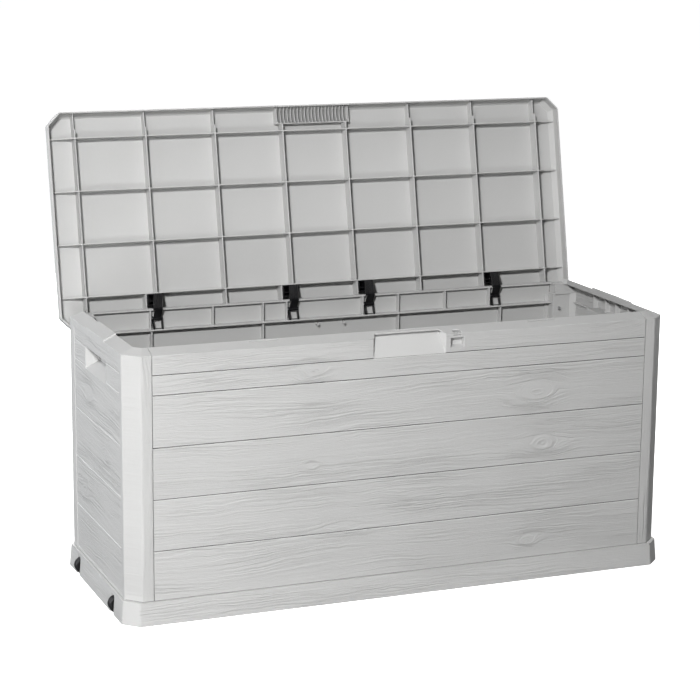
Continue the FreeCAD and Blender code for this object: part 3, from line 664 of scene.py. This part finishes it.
# %% [markdown]
# ## End panels
#
# Each end panel wraps round both corners. Its sunk field has boards like the front, and the posts
# and the frame round the field have upright grain. Its grooves and the sides of its gaps are darkened
# with painted shade, but not the faces of the handle pocket.

# %% End panels
END_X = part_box("right_end_panel")[1].x
END_SKIN = 0.0035
END_GROOVE = (0.002, 0.006)
FIELD_SUNK = 0.0008
FIELD_Y = (-0.18, 0.165)
POST_Y = 0.195
HANDLE_Z = 0.47
HANDLE_HALF = 0.08
HANDLE_HALF_HEIGHT = 0.03
POST_LENGTH = 0.47


# Finish 3 is painted shade, for the grooves and the sides of the gaps.
def end_rule(normal, middle):
    if normal.x * middle.x < 0 and abs(normal.x) > 0.8 and abs(middle.y) > -FACE_Y - GAP_DEPTH:
        return 3
    depth = END_X - abs(middle.x)
    if abs(normal.x) > 0.5 and normal.z < -0.4 and END_GROOVE[0] < depth < END_GROOVE[1]:
        off_handle = abs(middle.z - HANDLE_Z) > HANDLE_HALF_HEIGHT or abs(middle.y) > HANDLE_HALF
        return 3 if off_handle else 0
    if abs(normal.x) > 0.9 and depth < END_SKIN:
        return 1 if depth > FIELD_SUNK and FIELD_Y[0] < middle.y < FIELD_Y[1] else 2
    outward = normal.y * middle.y > 0 and abs(normal.y) > 0.5
    return 2 if outward and abs(middle.y) > POST_Y and abs(normal.z) < 0.5 else 0


for node in ("left_end_panel", "right_end_panel"):
    shape = whole_copy(node)
    round_corners(shape, UP, POST_LENGTH)
    round_long_edges(shape, FINE_RADIUS, LONG_EDGE)
    paint(shape, end_rule)
    finished(node + "_moulding", shape, "box", [node],
             [smooth_resin, end_boards, post_timber, groove_painted_shade])

# %% [markdown]
# ## Base tray
#
# The skirt round the base carries the same horizontal grain as the boards above it.

# %% Base tray
TRAY_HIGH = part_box("base_tray")[1]
SKIRT_SKIN = 0.006
SKIRT_CORNER_LENGTH = 0.04


def tray_rule(normal, middle):
    if abs(normal.y) > 0.6 and abs(middle.y) > TRAY_HIGH.y - SKIRT_SKIN:
        return 1
    if abs(normal.x) > 0.6 and abs(middle.x) > TRAY_HIGH.x - SKIRT_SKIN:
        return 2
    return 0


shape = whole_copy("base_tray")
round_corners(shape, UP, SKIRT_CORNER_LENGTH)
round_long_edges(shape, WALL_RADIUS, LONG_EDGE)
paint(shape, tray_rule)
finished("base_tray_moulding", shape, "box", ["base_tray"],
         [smooth_resin, front_boards, end_boards])

# %% [markdown]
# ## Lid
#
# The lid's outside is boarded, with grooves darkened by painted shade, and its underside, towards
# the viewer, is smooth with a grid of ribs. In the exact part the grip fins come out through the
# slope at the front, and this copy keeps them as they are.

# %% Lid
LID_OUTWARD = Matrix.Rotation(-LID_OPEN, 3, "X") @ Vector((0, 0, 1))
LID_POINTS = [vertex.co - HINGE_AXIS for vertex in frame["nodes"]["lid"].data.vertices]
LID_TOP = max(point.dot(LID_OUTWARD) for point in LID_POINTS)
BOARDED_ABOVE = 0.045
LID_GROOVE = (0.0002, 0.0015)
LID_GROOVE_X = 0.3
LID_CORNER_LENGTH = 0.015


# Finish 2 is painted shade, for the grooves in the boarded outside.
def lid_rule(normal, middle):
    facing = normal.dot(LID_OUTWARD)
    height = (middle - HINGE_AXIS).dot(LID_OUTWARD)
    if facing < 0.6 or height < BOARDED_ABOVE:
        return 0
    in_groove = LID_TOP - LID_GROOVE[1] < height < LID_TOP - LID_GROOVE[0]
    return 2 if facing < 0.85 and in_groove and abs(middle.x) < LID_GROOVE_X else 1


shape = whole_copy("lid")
round_corners(shape, LID_OUTWARD, LID_CORNER_LENGTH)
round_long_edges(shape, FINE_RADIUS, LONG_EDGE)
paint(shape, lid_rule)
finished("lid_moulding", shape, "lid", ["lid"], [smooth_resin, lid_boards, groove_painted_shade])

# %% [markdown]
# ## Small parts
#
# The hinges' long edges get a very small radius. Pins, axles and screws are turned parts, and every
# sharp rim on them is rounded.

# %% Small parts
SMALL = {"hinge": ("black_plastic", hinge_nylon), "zinc": ("steel", zinc)}


def one_finish(normal, middle):
    return 0


def small_part(node, body, kind, radius, shortest):
    """A hinge part with its long edges rounded, or a turned part with its sharp rims rounded."""
    slot, finish = SMALL[kind]
    shape = whole_copy(node)
    if shortest:
        round_long_edges(shape, radius, shortest)
    else:
        round_edges(shape, [edge for edge in shape.edges if is_sharp(edge, 60)], radius, 2)
    paint(shape, one_finish)
    finished(node + "_piece", shape, body, [node], [finish])


for number in range(1, 5):
    small_part("hinge_arm_%d" % number, "lid", "hinge", 0.0004, 0.0015)
    small_part("hinge_bracket_%d" % number, "box", "hinge", 0.0003, 0.001)
    small_part("hinge_pin_%d" % number, "box", "zinc", 0.0004, 0)
for end in ("front", "rear"):
    small_part("axle_" + end, "box", "zinc", 0.0005, 0)
small_part("corner_screws", "box", "zinc", 0.0002, 0)

# %% [markdown]
# ## Wheels
#
# A wheel is a turned shape, so it is one profile spun round its axle: a hub with the bore, a dished
# side, a round shoulder, and a tread with three grooves that grip. Half of the profile is written
# down, and the other half is the same points on the other side. The dish is deeper than the exact
# part's.

# %% Wheels
WHEEL_RUNNING_GAP = 0.00005
SIDE_GROOVE = 0.0045
GROOVE_MOUTH = 0.0007
GROOVE_FLOOR = 0.0004
WHEEL_STEPS = 64


def half_profile(radius, bore, half):
    """Radius and distance from the middle, from the bore out to the tread."""
    dish = half - 0.0028
    lip = radius * 0.72
    points = [(bore, half - 0.0012), (bore + 0.0004, half - 0.0008), (bore + 0.0022, half - 0.0008)]
    points += [(bore + 0.0028, half - 0.0014), (bore + 0.0032, dish), (lip - 0.0006, dish)]
    points += [(lip, dish + 0.0006), (lip + 0.0003, half - 0.0004), (lip + 0.0008, half)]
    points += [(radius - 0.0016, half), (radius - 0.0005, half - 0.0005), (radius, half - 0.0016)]
    deep = radius - GROOVE_MOUTH
    points += [(radius, SIDE_GROOVE + GROOVE_MOUTH), (deep, SIDE_GROOVE + GROOVE_FLOOR)]
    points += [(deep, SIDE_GROOVE - GROOVE_FLOOR), (radius, SIDE_GROOVE - GROOVE_MOUTH)]
    points += [(radius, GROOVE_MOUTH), (deep, GROOVE_FLOOR)]
    return points


def turned_wheel(node, body):
    """Spins the profile round the axle, at the exact part's width, radius and bore."""
    low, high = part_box(node)
    middle = (low + high) / 2
    axle_low, axle_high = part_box("axle_" + node.split("_")[1])
    bore = (axle_high.z - axle_low.z) / 2 + WHEEL_RUNNING_GAP
    half = half_profile((high.z - low.z) / 2, bore, (high.y - low.y) / 2)
    outline = half + [(r, -y) for r, y in reversed(half)]
    shape = bmesh.new()
    ring = [shape.verts.new((middle.x + r, middle.y + y, middle.z)) for r, y in outline]
    edges = [shape.edges.new((a, b)) for a, b in zip(ring, ring[1:] + ring[:1])]
    bmesh.ops.spin(shape, geom=ring + edges, cent=middle, axis=(0, 1, 0), angle=2 * math.pi,
                   steps=WHEEL_STEPS, use_merge=True)
    bmesh.ops.remove_doubles(shape, verts=shape.verts, dist=SAME_POINT)
    bmesh.ops.recalc_face_normals(shape, faces=shape.faces)
    paint(shape, one_finish)
    finished(node + "_turned", shape, body, [node], [wheel_nylon])


for node in ("wheel_front", "wheel_rear"):
    turned_wheel(node, node)
